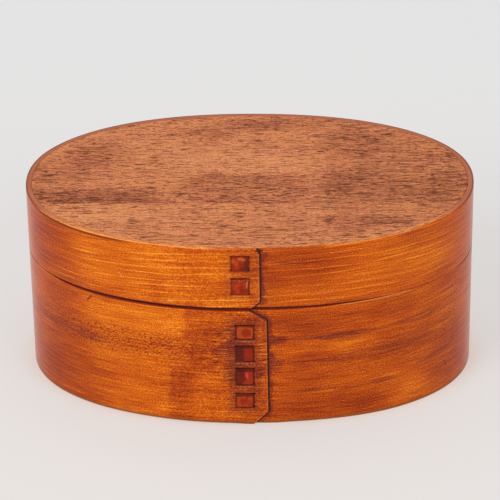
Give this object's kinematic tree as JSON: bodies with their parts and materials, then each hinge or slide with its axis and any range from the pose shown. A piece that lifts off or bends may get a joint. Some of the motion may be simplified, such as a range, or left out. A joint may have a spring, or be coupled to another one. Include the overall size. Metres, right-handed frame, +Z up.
{
  "type": "oval bentwood box",
  "caption": "Oval bentwood box with a lift-off lid; the walls are bent strips with lapped, bark-laced ends, closed by flat boards, and a glued collar guides the lid.",
  "frame": {"origin": "middle of the base, on the surface that the box stands on", "axes": "+X along the length, +Y away from the laced laps, +Z up; the laced laps face -Y"},
  "size_m": [0.18, 0.1162, 0.0802],
  "materials": {
    "body_wood": "amber wiped lacquer, satin gloss, fine straight grain",
    "lid_wood": "amber wiped lacquer, satin gloss, fine straight grain",
    "board_wood": "open-pored brown lacquer, matt",
    "collar_wood": "thin lacquer, satin",
    "bark": "polished dark red cherry bark, satin"
  },
  "bodies": {
    "box": {"body_band": "body_wood", "body_lacing": "bark", "base_board": "board_wood", "inner_rim": "collar_wood"},
    "lid": {"lid_band": "lid_wood", "lid_lacing": "bark", "lid_board": "board_wood"}
  },
  "joints": [
    {"name": "lid_lift", "type": "slide", "parent": "box", "child": "lid", "axis": [0, 0, 1], "range_m": [0, 0.06]}
  ]
}
